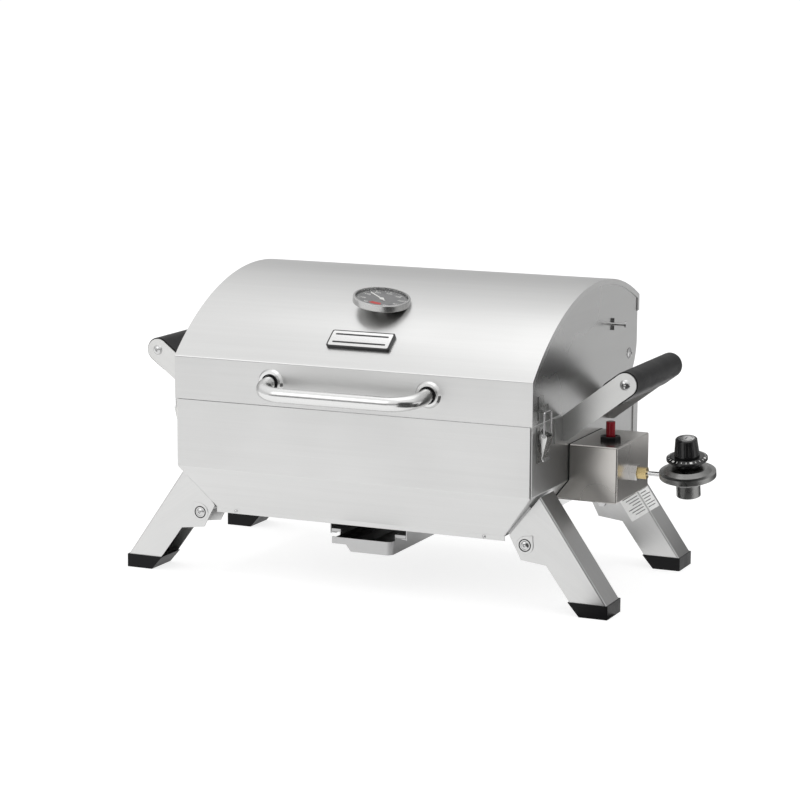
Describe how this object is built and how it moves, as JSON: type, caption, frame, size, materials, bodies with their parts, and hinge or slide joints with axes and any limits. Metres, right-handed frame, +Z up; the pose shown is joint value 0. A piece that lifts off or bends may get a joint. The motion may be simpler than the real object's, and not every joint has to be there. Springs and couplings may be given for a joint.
{
  "type": "portable tabletop gas grill",
  "caption": "Portable gas grill with a hinged curved lid, fold-under legs, side carry handles, a pull-out grease tray and a side gas regulator.",
  "frame": {"origin": "middle of the whole object's box, on the table plane under the four feet", "axes": "+X to the right end with the control box and regulator, +Y to the rear (lid hinge side), +Z up"},
  "size_m": [0.7777, 0.4596, 0.3965],
  "materials": {
    "stainless": "fine brushed stainless sheet",
    "stainless_tube": "satin polished tube",
    "bright_steel": "bright plated wire and spring steel",
    "fastener_steel": "zinc plated hardware",
    "burner_steel": "plain steel inside the firebox",
    "grate_steel": "plated wire grate",
    "zinc_casting": "grey die-cast zinc",
    "gas_brass": "turned brass",
    "black_plastic": "black moulded plastic",
    "black_grip": "black moulded grip with fine texture",
    "black_rubber": "matt black rubber",
    "red_plastic": "dark red button",
    "dial_face": "dark grey dial",
    "needle_paint": "pale pointer",
    "gauge_lens": "clear flat glass",
    "white_ceramic": "white electrode ceramic"
  },
  "bodies": {
    "firebox": {"firebox_shell": "stainless", "rear_panel": "stainless", "hinge_ears": "stainless", "lid_hinge_bolts": "fastener_steel", "cooking_grate": "grate_steel", "grate_ledges": "stainless", "heat_plate": "burner_steel", "burner_tube": "burner_steel", "burner_bracket": "burner_steel", "orifice_fitting": "gas_brass", "spark_electrode": "white_ceramic", "control_box": "stainless", "control_box_gasket": "black_rubber", "igniter_collar": "black_plastic", "igniter_body": "black_plastic", "inlet_nut": "fastener_steel", "side_arms_right": "stainless", "side_arms_left": "stainless", "side_grip_right": "black_grip", "side_grip_left": "black_grip", "side_handle_screws": "fastener_steel", "leg_brackets": "stainless", "firebox_fasteners": "fastener_steel", "latch_bases": "stainless", "tray_rails": "stainless"},
    "lid": {"lid_wrap": "stainless", "lid_end_right": "stainless", "lid_end_left": "stainless", "lid_fasteners": "fastener_steel", "lid_handle": "stainless_tube", "handle_bezels": "stainless", "badge": "stainless", "gauge_bezel": "stainless", "gauge_seat": "stainless", "gauge_dial": "dial_face", "gauge_glass": "gauge_lens", "gauge_stem": "fastener_steel", "latch_keepers": "stainless"},
    "thermometer_pointer": {"gauge_needle": "needle_paint"},
    "front_right_leg": {"leg_front_right": "stainless", "foot_front_right": "black_rubber"},
    "front_left_leg": {"leg_front_left": "stainless", "foot_front_left": "black_rubber"},
    "rear_right_leg": {"leg_rear_right": "stainless", "foot_rear_right": "black_rubber"},
    "rear_left_leg": {"leg_rear_left": "stainless", "foot_rear_left": "black_rubber"},
    "tray": {"grease_tray": "stainless"},
    "right_latch_lever": {"latch_lever_right": "stainless"},
    "right_latch_bail": {"latch_bail_right": "bright_steel"},
    "left_latch_lever": {"latch_lever_left": "stainless"},
    "left_latch_bail": {"latch_bail_left": "bright_steel"},
    "igniter_push_button": {"igniter_button": "red_plastic"},
    "regulator": {"inlet_connector": "gas_brass", "regulator_tube": "fastener_steel", "regulator_lower": "zinc_casting", "regulator_upper": "zinc_casting", "regulator_socket": "zinc_casting", "regulator_dial": "black_plastic"},
    "gas_knob": {"regulator_knob": "black_plastic"}
  },
  "joints": [
    {"name": "lid_hinge", "type": "hinge", "parent": "firebox", "child": "lid", "pos_m": [-0.03915, 0.19364, 0.284], "axis": [-1, 0, 0], "range_deg": [0, 100]},
    {"name": "thermometer_needle", "type": "hinge", "parent": "lid", "child": "thermometer_pointer", "pos_m": [-0.03675, -0.07406, 0.3783], "axis": [-0.1426, 0.1617, -0.9765], "range_deg": [0, 250]},
    {"name": "leg_fold_front_right", "type": "hinge", "parent": "firebox", "child": "front_right_leg", "pos_m": [0.19125, -0.11536, 0.0846], "axis": [0, 1, 0], "range_deg": [0, 124]},
    {"name": "leg_fold_front_left", "type": "hinge", "parent": "firebox", "child": "front_left_leg", "pos_m": [-0.26955, -0.11536, 0.0846], "axis": [0, -1, 0], "range_deg": [0, 124]},
    {"name": "leg_fold_rear_right", "type": "hinge", "parent": "firebox", "child": "rear_right_leg", "pos_m": [0.19125, 0.17364, 0.0846], "axis": [0, 1, 0], "range_deg": [0, 124]},
    {"name": "leg_fold_rear_left", "type": "hinge", "parent": "firebox", "child": "rear_left_leg", "pos_m": [-0.26955, 0.17364, 0.0846], "axis": [0, -1, 0], "range_deg": [0, 124]},
    {"name": "tray_slide", "type": "slide", "parent": "firebox", "child": "tray", "axis": [0, -1, 0], "range_m": [0, 0.25]},
    {"name": "latch_lever_right", "type": "hinge", "parent": "firebox", "child": "right_latch_lever", "pos_m": [0.21535, -0.13986, 0.226], "axis": [0, -1, 0], "range_deg": [0, 90]},
    {"name": "latch_bail_right", "type": "hinge", "parent": "right_latch_lever", "child": "right_latch_bail", "pos_m": [0.21935, -0.13986, 0.226], "axis": [0, -1, 0], "range_deg": [-136, 0]},
    {"name": "latch_lever_left", "type": "hinge", "parent": "firebox", "child": "left_latch_lever", "pos_m": [-0.29365, -0.13986, 0.226], "axis": [0, 1, 0], "range_deg": [0, 90]},
    {"name": "latch_bail_left", "type": "hinge", "parent": "left_latch_lever", "child": "left_latch_bail", "pos_m": [-0.29765, -0.13986, 0.226], "axis": [0, 1, 0], "range_deg": [-136, 0]},
    {"name": "igniter_button", "type": "slide", "parent": "firebox", "child": "igniter_push_button", "axis": [0, 0, -1], "range_m": [0, 0.004], "stiffness_N_per_m": 400, "springref_m": -0.003},
    {"name": "regulator_swivel", "type": "hinge", "parent": "firebox", "child": "regulator", "pos_m": [0.28085, 0.01764, 0.1575], "axis": [1, 0, 0], "range_deg": [-60, 60]},
    {"name": "regulator_knob", "type": "hinge", "parent": "regulator", "child": "gas_knob", "pos_m": [0.35235, 0.01764, 0.1575], "axis": [0, 0.1994, -0.9799], "range_deg": [0, 270]}
  ],
  "couplings": [
    {"joint": "latch_bail_right", "follows": "latch_lever_right", "ratio": -1.5},
    {"joint": "latch_bail_left", "follows": "latch_lever_left", "ratio": -1.5}
  ]
}
